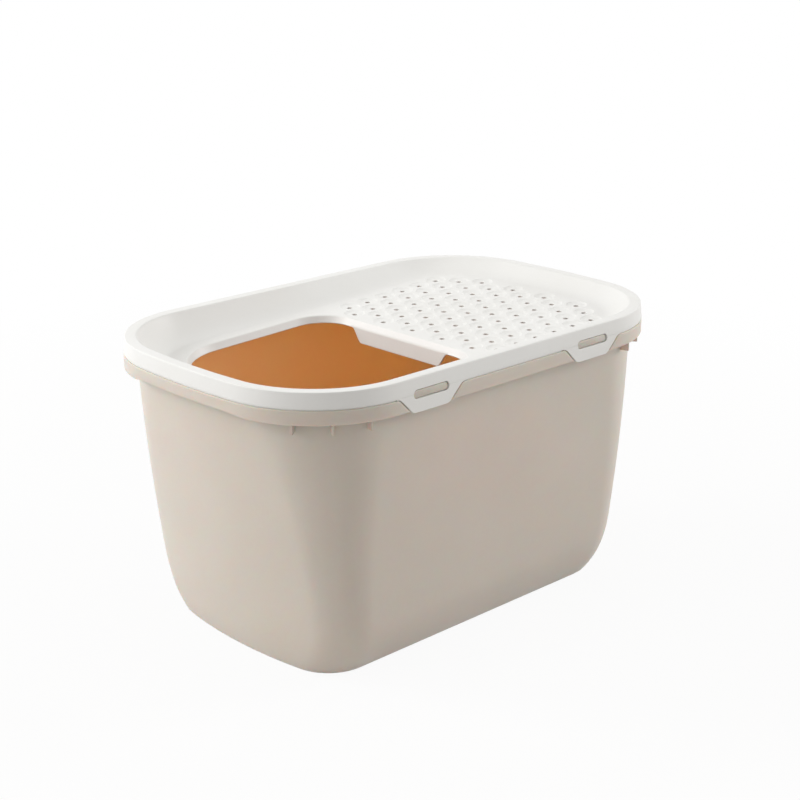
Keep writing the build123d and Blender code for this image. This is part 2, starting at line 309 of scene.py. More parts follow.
def finish(start, piece, madeEdges, material, level=None):
    # Smooth faces, apart from crisp edges and any level faces, then the closing nodes.
    angle = start.node("GeometryNodeInputMeshEdgeAngle", output="Unsigned Angle")
    crisp = angle > math.radians(treeShape["crispAngle"])
    if madeEdges:
        crisp = start.maths("MAXIMUM", crisp, madeEdges)
    piece = start.node("GeometryNodeSetShadeSmooth", inputs={"Geometry": piece, "Shade Smooth": True})
    if level:
        piece = start.node("GeometryNodeSetShadeSmooth", inputs={
            "Geometry": piece, "Selection": level, "Shade Smooth": False,
        })
    piece = start.node("GeometryNodeSetShadeSmooth", {"domain": "EDGE"}, {
        "Geometry": piece, "Selection": crisp, "Shade Smooth": False,
    })
    piece = start.node("GeometryNodeRealizeInstances", inputs={"Geometry": piece})
    piece = start.node("GeometryNodeSetMaterial", inputs={"Geometry": piece, "Material": material})
    return piece


def runTree(piece, tree, values):
    # Runs a tree on a piece, with its inputs given by name.
    modifier = piece.modifiers.new(tree.name, "NODES")
    modifier.node_group = tree
    for item in tree.interface.items_tree:
        if item.in_out == "INPUT" and item.name in values:
            modifier[item.identifier] = values[item.name]
    applyModifiers(piece)
    for slot in range(len(piece.data.materials) - 1, -1, -1):
        if piece.data.materials[slot] is None:     # left over from the cutters
            piece.data.materials.pop(index=slot)


lidShape = {
    "wall": 0.0026,
    "skirtHeight": 0.0185,
    "skirtLean": 0.0015,
    "rimBand": 0.013,
    "rimEdge": 0.0012,
    "lowerEdge": 0.0007,
    "lowerGap": 0.0014,      # shadow line above the bin's rim
    "lowerSeat": 0.0009,     # width of the part that rests on the rim
    "skirtLevels": (0.33, 0.67),
    "bandEdge": 0.003,
    "bandTurn": 55.0,        # degrees from the band into the bowl
    "bowlRun": 0.031,
    "bowlEase": 0.95,
    "bowlSteps": 18,
    "deckDepth": 0.0246,
    "deckSlope": 0.035,
    "deckMargin": 0.003,     # flat ring inside the deck's edge
    "underEdge": 0.002,
    "mergeWithin": 0.000001,
}
entryShape = {
    "back": 0.0135,
    "endMargin": 0.021,
    "sideMargin": 0.0135,
    "frontRadius": 0.075,
    "backRadius": 0.042,
    "lipDepth": 0.009,
    "lipLean": 0.0035,
    "lipEdge": 0.0025,       # rounding from the deck into the lip
    "lipMiddle": 0.7,        # share of the way down at which the lip's face has a ring
    "underLean": 0.6,
    "underMiddle": 0.5,
    "lowerEdge": 0.0011,
    "apronDepth": 0.0255,
    "apronNarrow": 0.0615,   # half width where the apron is at its full depth
    "apronWide": 0.0765,     # and where it has run out
    "apronSteps": 12,
    "cornerSteps": 26,
    "sideSteps": 34,
    "backSteps": 96,
}
deckInset = lidShape["skirtLean"] + lidShape["rimBand"] + lidShape["bowlRun"]
rimTop = rimHeight - lidShape["skirtHeight"]


def deckHeight(x):
    return rimHeight - lidShape["deckDepth"] + lidShape["deckSlope"] * x


def lidRing(inset, share, drop):
    # A ring of the lid: level with the rim at share 0, in the deck's slope at share 1.
    ring = []
    for x, y in rimOutline(inset):
        height = rimHeight - drop - share * (lidShape["deckDepth"] - lidShape["deckSlope"] * x)
        ring.append((x, y, height))
    return ring


def lidSection():
    # The lid's section from the deck's top, over the rim and down the skirt, to the deck's underside.
    wall = lidShape["wall"]
    lean = lidShape["skirtLean"]
    height = lidShape["skirtHeight"]
    bandEnd = lean + lidShape["rimBand"]
    turn = lidShape["bandTurn"]
    section = [(deckInset + lidShape["deckMargin"], 1, 0)]
    bandEdge = lidShape["bandEdge"]
    reach = bandEdge * math.tan(math.radians(turn / 2))
    arcEnd = bandEdge * math.sin(math.radians(turn)) - reach
    firstRun = arcEnd / lidShape["bowlRun"]
    runs = []
    for step in range(lidShape["bowlSteps"] + 1):
        runs.append(1 - (1 - firstRun) * step / lidShape["bowlSteps"])
    bowl = []
    for run in runs:
        share = math.sin(math.pi / 2 * run) ** lidShape["bowlEase"]
        bowl.append((bandEnd + lidShape["bowlRun"] * run, share))
    section += [(inset, share, 0) for inset, share in bowl]
    for across, up in arc(bandEdge, 90 - turn, 90, arcSteps["soft"])[1:]:
        section.append((bandEnd - reach + across, (bandEdge - up) / lidShape["deckDepth"], 0))
    rimEdge = lidShape["rimEdge"]
    for across, up in arc(rimEdge, 90, 180, arcSteps["soft"]):
        section.append((lean + rimEdge + across, 0, rimEdge - up))
    lower = lidShape["lowerEdge"]
    gap = lidShape["lowerGap"]
    seat = lidShape["lowerSeat"]
    for share in lidShape["skirtLevels"]:
        drop = rimEdge + (height - gap - lower - rimEdge) * share
        section.append((lean * (1 - drop / height), 0, drop))
    for across, up in arc(lower, 180, 270, arcSteps["edge"]):
        section.append((lower + across, 0, height - gap - lower - up))
    section += [(wall - seat, 0, height - gap), (wall - seat, 0, height)]
    for across, up in arc(lower / 2, 270, 360, arcSteps["fine"]):
        section.append((wall - lower / 2 + across, 0, height - lower / 2 - up))
    under = lidShape["underEdge"]
    for share in lidShape["skirtLevels"]:
        drop = height - lower - (height - lower - wall - under) * share
        section.append((wall + lean * (1 - drop / height), 0, drop))
    for across, up in arc(under, 180, 90, arcSteps["edge"]):
        section.append((wall + lean + under + across, 0, wall + under - up))
    grow = wall * math.tan(math.atan2(lidShape["deckDepth"], lidShape["bowlRun"]) / 2)
    section.append((bandEnd - grow - reach, 0, wall))
    section += [(inset - grow, share, wall) for inset, share in bowl[::-1]]
    section.append((deckInset + lidShape["deckMargin"], 1, wall))
    return section


def entryOutline(inset):
    # Plan of the entry opening moved in by inset, counterclockwise from the middle of its +X side.
    left = deckInset + entryShape["endMargin"] - halfLength + inset
    right = entryShape["back"] - inset
    width = halfWidth - deckInset - entryShape["sideMargin"] - inset
    backRadius = entryShape["backRadius"] - inset
    frontRadius = entryShape["frontRadius"] - inset
    steps = entryShape["cornerSteps"]
    half = []
    for step in range(entryShape["backSteps"] // 2):
        half.append((right, (width - backRadius) * step / (entryShape["backSteps"] // 2)))
    for across, up in arc(backRadius, 0, 90, steps)[:-1]:
        half.append((right - backRadius + across, width - backRadius + up))
    for step in range(entryShape["sideSteps"]):
        share = step / entryShape["sideSteps"]
        half.append(((right - backRadius) * (1 - share) + (left + frontRadius) * share, width))
    for across, up in arc(frontRadius, 90, 180, steps)[:-1]:
        half.append((left + frontRadius + across, width - frontRadius + up))
    for step in range(entryShape["sideSteps"] // 2 + 1):
        half.append((left, (width - frontRadius) * (1 - step / (entryShape["sideSteps"] // 2))))
    return half + [(x, -y) for x, y in half[-2:0:-1]]


def apronShare(x, y):
    # 1 where the apron hangs at its full depth below the opening's +X side, 0 where there is none.
    if x < entryShape["back"] - entryShape["backRadius"] / 2:
        return 0.0
    return ease((entryShape["apronWide"] - abs(y)) / (entryShape["apronWide"] - entryShape["apronNarrow"]))


def entrySection():
    # The lip's section, from the deck's top down and up again to its underside. The third number
    # is how far a point follows the apron down.
    wall = lidShape["wall"]
    depth = entryShape["lipDepth"]
    lean = entryShape["lipLean"]
    edge = entryShape["lipEdge"]
    lower = entryShape["lowerEdge"]
    slope = lean / depth
    turn = 90 - math.degrees(math.atan(slope))
    reach = edge * math.tan(math.radians(turn / 2))
    section = [(-reach - lidShape["deckMargin"], 0, 0)]
    for across, up in arc(edge, 90, 90 - turn, arcSteps["lip"]):
        section.append((across - reach, edge - up, 0))
    middle = (depth - lower) * entryShape["lipMiddle"]
    section.append((middle * slope, middle, 0))
    section.append((lean, depth - lower, 0))
    steps = entryShape["apronSteps"]
    section += [(lean, depth - lower, step / steps) for step in range(1, steps)]
    for across, up in arc(lower, 0, -90, arcSteps["edge"]):
        section.append((lean - lower + across, depth - lower - up, 1))
    for across, up in arc(lower, -90, -180, arcSteps["edge"]):
        section.append((lean - wall + lower + across, depth - lower - up, 1))
    section += [(lean - wall, depth - lower, step / steps) for step in range(steps - 1, -1, -1)]
    underMiddle = wall + (depth - wall) * entryShape["underMiddle"]
    section.append((lean * entryShape["underLean"] - wall, underMiddle, 0))
    for across, up in arc(lower, 0, 90, arcSteps["edge"]):
        section.append((-wall - lower + across, wall + lower - up, 0))
    section.append((-reach - lidShape["deckMargin"], wall, 0))
    return section


def entryRing(inset, drop, follow):
    ring = []
    rest = entryShape["apronDepth"] - entryShape["lipDepth"]
    for x, y in entryOutline(inset):
        ring.append((x, y, deckHeight(x) - drop - follow * rest * apronShare(x, y)))
    return ring


def makeLidShell():
    # Everything of the lid but the flat of the deck, which is left open between its two edges.
    mesh = bmesh.new()
    sheet = mesh.verts.layers.float.new("sheet")
    rim = skinRings(mesh, [lidRing(*values) for values in lidSection()])
    lip = skinRings(mesh, [entryRing(*values) for values in entrySection()[::-1]])
    for loop, value in ((rim[0], 1.0), (lip[-1], 1.0), (rim[-1], 3.0), (lip[0], 3.0)):
        for vert in loop:
            vert[sheet] = value
    bmesh.ops.remove_doubles(mesh, verts=mesh.verts, dist=lidShape["mergeWithin"])
    return makeObject("lidShell", mesh)


# the tabs, and what the bin has behind them
latchShape = {
    "setback": 0.0426,       # from the end of the straight side to a tab's middle
    "topHalf": 0.0432,
    "bottomHalf": 0.025,
    "drop": 0.018,
    "corner": 0.009,
    "rootHalf": 0.0482,
    "rootRise": 0.0015,
    "lift": 0.0005,          # of the ledge over the bin's rim
    "gap": 0.0003,
    "slotLength": 0.0495,
    "slotHeight": 0.0096,
    "slotCorner": 0.0046,
    "slotEdge": 0.0004,
    "slotMiddle": 0.3105,
    "pocketGap": 0.0012,
    "pocketEdge": 0.0012,    # rounding of a pocket's mouth
    "lugGap": 0.0004,
    "lugThickness": 0.0024,
    "lugRoot": 0.0048,       # how far a lug runs down into its pad, from the rim
    "lugEdge": 0.0006,       # rounding of a lug's face and of its boss's
    "lugShrink": 0.0013,
    "bossShrink": 0.0010,
    "bossSink": 0.0012,      # how far a lug's boss lies behind the face of its tab
    "reach": 0.002,
    "tabEdge": 0.0007,
    "flatFacing": 0.99,      # faces that look this much to the front or back are shaded flat
}
latchX = straightEnd - latchShape["setback"]
latchBack = lidShape["wall"] + 2 * lidShape["skirtLean"] - halfWidth


def rootOutline(grow):
    half = latchShape["rootHalf"] + latchShape["gap"]
    rise = latchShape["rootRise"]
    return [(-half, rimTop - rise), (half, rimTop - rise), (half, rimTop + rise), (-half, rimTop + rise)]


def slotOutline(grow):
    middle = latchShape["slotMiddle"]
    half = latchShape["slotHeight"] / 2 + grow
    wide = latchShape["slotLength"] / 2 + grow
    return roundedBox(wide, middle - half, middle + half, latchShape["slotCorner"] + grow)


def pocketOutline(grow):
    # Round a tab, with a gap, and grown further at the pocket's mouth.
    slope = (latchShape["topHalf"] - latchShape["bottomHalf"]) / latchShape["drop"]
    gap = latchShape["pocketGap"] + grow
    side = latchShape["topHalf"] + math.hypot(1.0, slope) * gap
    bottom = skirtBottom - gap
    low = side + slope * (bottom - rimTop)
    wide = latchShape["rootHalf"] + gap
    top = rimTop + latchShape["pocketGap"]
    radius = latchShape["corner"] - gap
    bend = 90 - math.degrees(math.atan(slope))
    reach = radius * math.tan(math.radians(bend / 2))
    half = [(low, bottom)]
    for across, up in arc(radius, 90 + bend, 90, arcSteps["soft"]):
        half.append((side + reach + across, rimTop - radius + up))
    half += [(wide, rimTop), (wide, top)]
    return half + [(-x, z) for x, z in half[::-1]]


landingShape = {
    "holeRadius": 0.0032,
    "holeEdge": 0.0005,
    "holeFlare": 0.0011,     # how much wider a hole is at its lower end
    "dishRadius": 0.0125,
    "dishDepth": 0.0018,
    "dishOver": 0.00005,     # how far the dish's curve runs on above the deck
    "dishPower": 5.0,        # 2 is a plain bowl, more has steeper sides and a flatter floor
    "dishSpread": 1.6,       # more crowds a dish's rings at its rim
    "holeTurn": 96.0,        # degrees at which a hole's rounding starts
    "dishSides": 36,
    "dishSteps": 6,
    "backDepth": 0.0026,     # of the bulge beneath, at its middle
    "backSides": 24,
    "backSteps": 4,
    "reach": 0.0015,         # how far the cutter stands out above and below
    "pitchX": 0.0151,
    "halfPitchY": 0.0237,
    "fan": 0.005,            # rows spread by this share with each column
    "bowRadius": 2.56,
    "setback": 0.0192,       # first column, behind the opening
    "edgeMargin": 0.009,
    "columns": 20,
    "rows": 17,
}


def makeDishCutter():
    # What one dish and its hole take out of the deck, as a turned profile round the Z axis.
    shape = landingShape
    radius = shape["dishRadius"]
    edge = shape["holeEdge"]
    wall = lidShape["wall"]
    last = shape["holeRadius"] + edge
    first = radius * (1 + shape["dishOver"] / shape["dishDepth"]) ** (1 / shape["dishPower"])
    profile = [(first, shape["reach"])]
    for step in range(shape["dishSteps"] + 1):
        out = first + (last - first) * (step / shape["dishSteps"]) ** shape["dishSpread"]
        profile.append((out, -shape["dishDepth"] * (1 - (out / radius) ** shape["dishPower"])))
    floor = profile[-1][1]
    for across, up in arc(edge, shape["holeTurn"], 180, arcSteps["edge"]):
        profile.append((last + across, floor - edge + up))
    profile.append((shape["holeRadius"] + shape["holeFlare"], -wall - shape["backDepth"] - shape["reach"]))
    return turned("dishCutter", profile, shape["dishSides"])


def makeDishBack():
    # The bulge under a dish, which keeps the deck strong and the hole deep there.
    shape = landingShape
    profile = [(shape["dishRadius"], -lidShape["wall"] / 2)]
    for step in range(shape["backSteps"]):
        out = shape["dishRadius"] - (shape["dishRadius"] - shape["holeRadius"]) * step / shape["backSteps"]
        bulge = shape["backDepth"] * (1 - (out / shape["dishRadius"]) ** shape["dishPower"])
        profile.append((out, -lidShape["wall"] - shape["dishOver"] - bulge))
    return turned("dishBack", profile, shape["backSides"])


def landingTree():
    # Closes the deck between its two edges, then cuts a dish on each point of a staggered, bowed grid.
    tree, start, value = newTree("perforatedLanding", (
        ("Shell", "Geometry"), ("Dish Cutter", "Object"), ("Dish Back", "Object"), ("Material", "Material"),
        ("Root Cutter", "Object"), ("Slot Cutter", "Object"), ("Latch X", "Float"),
        ("Columns", "Int"), ("Rows", "Int"), ("Pitch X", "Float"), ("Half Pitch Y", "Float"),
        ("Fan", "Float"), ("Bow Radius", "Float"), ("First X", "Float"),
        ("Edge X", "Float"), ("Edge Y", "Float"), ("Corner Radius", "Float"), ("End Radius", "Float"),
        ("Corner X", "Float"), ("Corner Y", "Float"),
        ("Deck Height", "Float"), ("Deck Slope", "Float"), ("Wall", "Float"),
    ))

    # the deck's two faces, each filled between its edges
    sheet = start.node("GeometryNodeInputNamedAttribute", {"data_type": "FLOAT"}, {"Name": "sheet"})
    position = start.node("GeometryNodeInputPosition")
    alongX = start.node("ShaderNodeSeparateXYZ", inputs={"Vector": position})
    height = value("Deck Height") + value("Deck Slope") * alongX

    def deckFace(number, lift):
        onEdge = start.maths("COMPARE", sheet, number, treeShape["markWithin"])
        edges = start.node("GeometryNodeMeshToCurve", inputs={"Mesh": value("Shell"), "Selection": onEdge})
        face = start.node("GeometryNodeFillCurve", {"mode": "TRIANGLES"}, {"Curve": edges})
        up = start.vector(Z=lift)
        return start.node("GeometryNodeSetPosition", inputs={"Geometry": face, "Offset": up})

    top = deckFace(1.0, height)
    bottom = start.node("GeometryNodeFlipFaces", inputs={"Mesh": deckFace(3.0, height - value("Wall"))})
    whole = start.node("GeometryNodeJoinGeometry", inputs={0: [value("Shell"), top, bottom]})
    whole = start.node("GeometryNodeMergeByDistance", inputs={
        "Geometry": whole, "Distance": treeShape["mergeWithin"],
    })

    # where the holes lie
    index = start.node("GeometryNodeInputIndex")
    column = start.maths("FLOOR", index / value("Rows"))
    row = index - column * value("Rows") - (value("Rows") - 1) / 2
    y = row * value("Half Pitch Y") * (1 + value("Fan") * column)
    x = value("First X") + value("Pitch X") * column - y * y / (2 * value("Bow Radius"))
    place = start.vector(X=x, Y=y, Z=value("Deck Height") + value("Deck Slope") * x)
    count = value("Columns") * value("Rows")
    points = start.node("GeometryNodePoints", inputs={"Count": count, "Position": place})
    staggered = start.maths("PINGPONG", column + row, 1) < 0.5
    fromEnd = x - value("Edge X") + value("End Radius")
    inEnd = start.maths("SQRT", fromEnd * fromEnd + y * y) < value("End Radius")
    side = start.maths("ABSOLUTE", y)
    fromX = start.maths("MAXIMUM", x - value("Corner X"), 0)
    fromY = start.maths("MAXIMUM", side - value("Corner Y"), 0)
    inCorner = start.maths("SQRT", fromX * fromX + fromY * fromY) < value("Corner Radius")
    kept = staggered * inEnd * inCorner * (side < value("Edge Y"))
    points = start.node(
        "GeometryNodeDeleteGeometry", {"domain": "POINT"}, {"Geometry": points, "Selection": kept < 0.5}
    )

    # the cuts
    tilt = start.vector(Y=0 - start.maths("ARCTANGENT", value("Deck Slope")))
    dishes = copies(start, points, value("Dish Cutter"), tilt)
    backs = copies(start, points, value("Dish Back"), tilt)
    lid = whole
    for label in ("Root Cutter", "Slot Cutter"):
        lid = boolean(start, "DIFFERENCE", lid, onLatches(start, value("Latch X"), value(label)))
    lid = boolean(start, "UNION", lid, backs)
    lid = boolean(start, "DIFFERENCE", lid, dishes)
    lid = finish(start, lid, lid.other("Intersecting Edges"), value("Material"))
    start.node("NodeGroupOutput", inputs={"Piece": lid})
    return tree


def makeLid(material):
    shell = makeLidShell()
    cutters = {
        "Dish Cutter": makeDishCutter(),
        "Dish Back": makeDishBack(),
        "Root Cutter": prism("rootCutter", rootOutline, [
            (-halfWidth - latchShape["reach"], 0), (latchBack, 0),
        ]),
        "Slot Cutter": makeSlotCutter(),
    }
    shape = landingShape
    edgeX = halfLength - deckInset - shape["edgeMargin"]
    edgeY = halfWidth - deckInset - shape["edgeMargin"]
    corner = rimPlan["cornerRadius"] - deckInset - shape["edgeMargin"]
    endRadius = rimPlan["endRadius"] - deckInset - shape["edgeMargin"]
    runTree(shell, landingTree(), {
        **cutters,
        "Material": material,
        "Latch X": latchX,
        "Columns": shape["columns"],
        "Rows": shape["rows"],
        "Pitch X": shape["pitchX"],
        "Half Pitch Y": shape["halfPitchY"],
        "Fan": shape["fan"],
        "Bow Radius": shape["bowRadius"],
        "First X": entryShape["back"] + shape["setback"],
        "Edge X": edgeX,
        "Edge Y": edgeY,
        "Corner Radius": corner,
        "End Radius": endRadius,
        "Corner X": cornerX(edgeX, edgeY, corner, endRadius),
        "Corner Y": edgeY - corner,
        "Deck Height": rimHeight - lidShape["deckDepth"],
        "Deck Slope": lidShape["deckSlope"],
        "Wall": lidShape["wall"],
    })
    for cutter in cutters.values():
        bpy.data.objects.remove(cutter)
    return shell


def tabOutline(grow):
    # A tab's outline. Its top stays where it is, flush with the lid.
    slope = (latchShape["topHalf"] - latchShape["bottomHalf"]) / latchShape["drop"]
    side = latchShape["topHalf"] + math.hypot(1.0, slope) * grow
    bottom = rimTop - latchShape["drop"] - grow
    shelf = rimTop + latchShape["lift"] - grow
    low = side + slope * (bottom - rimTop)
    high = side + slope * (shelf - rimTop)
    bend = 90 - math.degrees(math.atan(slope))
    outer = latchShape["corner"] + grow
    inner = latchShape["corner"] - grow
    share = math.tan(math.radians(bend / 2))
    half = []
    for across, up in arc(outer, -90, bend - 90, arcSteps["tab"]):
        half.append((low - outer * share + across, bottom + outer + up))
    for across, up in arc(inner, 90 + bend, 90, arcSteps["tab"]):
        half.append((high + inner * share + across, shelf - inner + up))
    wide = latchShape["rootHalf"] + grow
    half += [(wide, shelf), (wide, rimTop + latchShape["rootRise"])]
    return half + [(-x, z) for x, z in half[::-1]]


def leanBack(piece):
    # Leans the part above the bin's rim as the lid's skirt leans.
    for vert in piece.data.vertices:
        vert.co.y += lidShape["skirtLean"] * max(vert.co.z - rimTop, 0) / lidShape["skirtHeight"]
    return piece


def mouthLevels(edge, steps, back):
    # Levels of a cutter from in front of the bin to its back, with a rounded mouth.
    levels = [(-halfWidth - latchShape["reach"], edge)]
    for across, up in arc(edge, 90, 0, steps):
        levels.append((edge - halfWidth - up, edge - across))
    return levels + [(back, 0)]


def makeSlotCutter():
    levels = mouthLevels(latchShape["slotEdge"], arcSteps["fine"], latchBack)
    return leanBack(prism("slotCutter", slotOutline, levels))


def tabTree():
    tree, start, value = newTree("latchTab", (
        ("Shell", "Geometry"), ("Slot Cutter", "Object"), ("Material", "Material"),
    ))
    origin = start.node("GeometryNodePoints", inputs={"Count": 1})
    slot = copies(start, origin, value("Slot Cutter"), (0, 0, 0))
    tab = boolean(start, "DIFFERENCE", value("Shell"), slot)
    normal = start.node("GeometryNodeInputNormal")
    facing = start.node("ShaderNodeSeparateXYZ", inputs={"Vector": normal}, output=1)
    level = start.maths("ABSOLUTE", facing) > latchShape["flatFacing"]
    tab = finish(start, tab, None, value("Material"), level)
    start.node("NodeGroupOutput", inputs={"Piece": tab})
    return tree


def makeTab(node, tree, material):
    # A tab with rounded edges, made at the middle of the front side and moved to its node's place.
    edge = latchShape["tabEdge"]
    wall = lidShape["wall"]
    levels = []
    for across, up in arc(edge, 90, 0, arcSteps["edge"]):
        levels.append((edge - halfWidth - up, across - edge))
    for across, up in arc(edge, 0, 90, arcSteps["edge"]):
        levels.append((wall - edge - halfWidth + up, across - edge))
    tab = leanBack(prism(node.replace("latch_tab", "tab"), tabOutline, levels))
    slotCutter = makeSlotCutter()
    runTree(tab, tree, {"Slot Cutter": slotCutter, "Material": material})
    bpy.data.objects.remove(slotCutter)
    low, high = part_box(node)
    turn = Matrix.Rotation(math.pi, 4, "Z") if low.y > 0 else Matrix()
    tab.data.transform(Matrix.Translation(((low.x + high.x) / 2, 0, 0)) @ turn)
    return tab


binShape = {
    "rimThickness": 0.0026,
    "overhang": 0.0124,
    "skirtDepth": 0.015,
    "wall": 0.0028,
    "floor": 0.0032,
    "endDraft": 0.154,
    "sideDraft": 0.058,
    "endRollRadius": 0.132,
    "endRollHeight": 0.035,
    "sideRollRadius": 0.119,
    "sideRollHeight": 0.073,
    "baseCorner": 0.050,
    "cornerGrowth": 2.1,
    "wallEndRadius": 0.560,
    "wallSteps": 40,
    "wallSpread": 1.25,      # more crowds the wall's rings at its lower end
    "skirtLevels": (0.35, 0.7),
    "rimEdge": 0.0009,
    "skirtEdge": 0.0007,
    "underFillet": 0.0015,
    "baseEdge": 0.003,
    "baseTurn": 40.0,        # degrees short of upright at which the base's rounding meets the wall
    "baseMargin": 0.012,
    "floorMargin": 0.018,
    "floorFillet": 0.006,
    "insideMark": 0.9,       # faces marked above this are inside the bin
    # faces marked as ribs take the colour darkened as painted shade
    "ribMark": -0.4,         # and those marked below this are ribs
    "gripHalf": 0.095,
    "gripBlend": 0.030,
    "gripRise": 0.0028,
}
gussetShape = {
    "firstAngle": 36.0,
    "angleStep": 19.5,
    "perCorner": 3,
    "thickness": 0.0024,
    "drop": 0.0115,
    "inset": 0.0035,
    "root": 0.0024,          # how deep it is set into the wall
    "corner": 0.0012,
    "softness": 0.3,         # share of the corner at which its rounding has a ring
}
skirtBottom = rimTop - binShape["skirtDepth"]


def rollIn(height, radius, rollHeight):
    below = max(rollHeight - height, 0.0)
    return radius - math.sqrt(radius ** 2 - below ** 2)


def wallRing(height, inset, level=None):
    # A ring of the wall at a height, moved in by inset, and laid at another level if one is given.
    down = rimTop - height
    endRoll = rollIn(height, binShape["endRollRadius"], binShape["endRollHeight"])
    sideRoll = rollIn(height, binShape["sideRollRadius"], binShape["sideRollHeight"])
    length = halfLength - binShape["overhang"] - binShape["endDraft"] * down - endRoll - inset
    width = halfWidth - binShape["overhang"] - binShape["sideDraft"] * down - sideRoll - inset
    topCorner = rimPlan["cornerRadius"] - binShape["overhang"]
    growth = (height / rimTop) ** binShape["cornerGrowth"]
    corner = binShape["baseCorner"] + (topCorner - binShape["baseCorner"]) * growth - inset
    outline = planOutline(length, width, corner, binShape["wallEndRadius"] - inset)
    return [(x, y, height if level is None else level) for x, y in outline]


def gripRelief(x, y):
    # How far the skirt's lower edge is raised at an end, for the fingers.
    if abs(x) < halfLength / 2:
        return 0.0
    return binShape["gripRise"] * ease((binShape["gripHalf"] - abs(y)) / binShape["gripBlend"])


def skirtRing(inset, height, relief):
    return [(x, y, height + relief * gripRelief(x, y)) for x, y in rimOutline(inset)]


def binSection():
    # Rings from the middle of the base up to the rim's inner edge, and from there down to the floor.
    wall = binShape["wall"]
    thick = binShape["rimThickness"]
    edge = binShape["skirtEdge"]
    rimEdge = binShape["rimEdge"]
    fillet = binShape["underFillet"]
    under = rimTop - thick
    base = binShape["baseEdge"]
    steps = binShape["wallSteps"]
    outer = [wallRing(0, binShape["baseMargin"]), wallRing(0, base)]
    turn = binShape["baseTurn"]
    for across, up in arc(base, -90, -turn, arcSteps["edge"])[1:]:
        outer.append(wallRing(0, base - across, base + up))
    first = base * (1 - math.sin(math.radians(turn)))
    for step in range(1, steps + 1):
        share = (step / steps) ** binShape["wallSpread"]
        outer.append(wallRing(first + (under - fillet - first) * share, 0))
    for across, up in arc(fillet, 180, 90, arcSteps["edge"])[1:]:
        outer.append(wallRing(under - fillet, -fillet - across, under - fillet + up))
    outer.append(skirtRing(thick + fillet, under, 0))
    for across, up in arc(fillet, 90, 0, arcSteps["edge"])[1:]:
        outer.append(skirtRing(thick + fillet - across, under - fillet + up, 0))
    outer.append(skirtRing(thick, skirtBottom + edge, 1))
    for across, up in arc(edge, 180, 270, arcSteps["fine"])[1:]:
        outer.append(skirtRing(thick - edge - across, skirtBottom + edge + up, 1))
    for across, up in arc(edge, 270, 360, arcSteps["fine"]):
        outer.append(skirtRing(edge - across, skirtBottom + edge + up, 1))
    for share in binShape["skirtLevels"]:
        outer.append(skirtRing(0, skirtBottom + (rimTop - skirtBottom) * share, 1 - share))
    for across, up in arc(rimEdge, 0, 90, arcSteps["edge"]):
        outer.append(skirtRing(rimEdge - across, rimTop - rimEdge + up, 0))
    outer.append(wallRing(rimTop, wall - rimEdge))
    inner = []
    for across, up in arc(rimEdge, 90, 0, arcSteps["edge"])[1:]:
        inner.append(wallRing(rimTop, wall - rimEdge + across, rimTop - rimEdge + up))
    floor = binShape["floor"]
    bend = binShape["floorFillet"]
    for step in range(1, steps + 1):
        share = 1 - (1 - step / steps) ** binShape["wallSpread"]
        inner.append(wallRing(rimTop - rimEdge - (rimTop - rimEdge - floor - bend) * share, wall))
    for across, up in arc(bend, 180, 270, arcSteps["soft"])[1:]:
        inner.append(wallRing(floor + bend, wall + bend + across, floor + bend + up))
    inner.append(wallRing(floor + bend, wall + binShape["floorMargin"], floor))
    return outer, inner


def makeBinShell():
    mesh = bmesh.new()
    inside = mesh.verts.layers.float.new("inside")
    outer, inner = binSection()
    loops = skinRings(mesh, (outer + inner)[::-1])
    for loop in loops[:len(inner)]:
        for vert in loop:
            vert[inside] = 1.0
    mesh.faces.new(loops[0])
    mesh.faces.new(loops[-1][::-1])
    bmesh.ops.recalc_face_normals(mesh, faces=mesh.faces)
    return makeObject("binShell", mesh)


def binTree():
    # Adds the pads, the lugs and the gussets, and cuts the pockets that the latch tabs hang in.
    tree, start, value = newTree("binFittings", (
        ("Shell", "Geometry"), ("Pad", "Object"), ("Pocket Cutter", "Object"), ("Lug", "Object"),
        ("Boss", "Object"), ("Gusset", "Object"), ("Latch X", "Float"), ("Corner X", "Float"),
        ("Corner Y", "Float"), ("Gussets", "Int"), ("First Angle", "Float"), ("Angle Step", "Float"),
        ("Outside", "Material"), ("Inside", "Material"), ("Ribs", "Material"),
    ))
    piece = value("Shell")
    for operation, label in (
        ("UNION", "Pad"), ("DIFFERENCE", "Pocket Cutter"), ("UNION", "Lug"), ("UNION", "Boss"),
    ):
        piece = boolean(start, operation, piece, onLatches(start, value("Latch X"), value(label)))
    index = start.node("GeometryNodeInputIndex")
    right = start.maths("MODULO", index, 2)
    angle = value("First Angle") + value("Angle Step") * start.maths("FLOOR", index / 2)
    place = start.vector(X=value("Corner X") * (2 * right - 1), Y=0 - value("Corner Y"))
    turn = (1 - right) * (angle + math.pi) - right * angle
    points = start.node("GeometryNodePoints", inputs={"Count": 2 * value("Gussets"), "Position": place})
    gussets = copies(start, points, value("Gusset"), start.vector(Z=turn))
    piece = boolean(start, "UNION", piece, gussets)
    within = start.node("GeometryNodeInputNamedAttribute", {"data_type": "FLOAT"}, {"Name": "inside"})
    piece = finish(start, piece, None, value("Outside"))
    # the ribs get a darker colour, painted shade for the shade under the rim
    for chosen, material in (
        (within > binShape["insideMark"], value("Inside")), (within < binShape["ribMark"], value("Ribs")),
    ):
        piece = start.node("GeometryNodeSetMaterial", inputs={
            "Geometry": piece, "Selection": chosen, "Material": material,
        })
    start.node("NodeGroupOutput", inputs={"Piece": piece})
    return tree


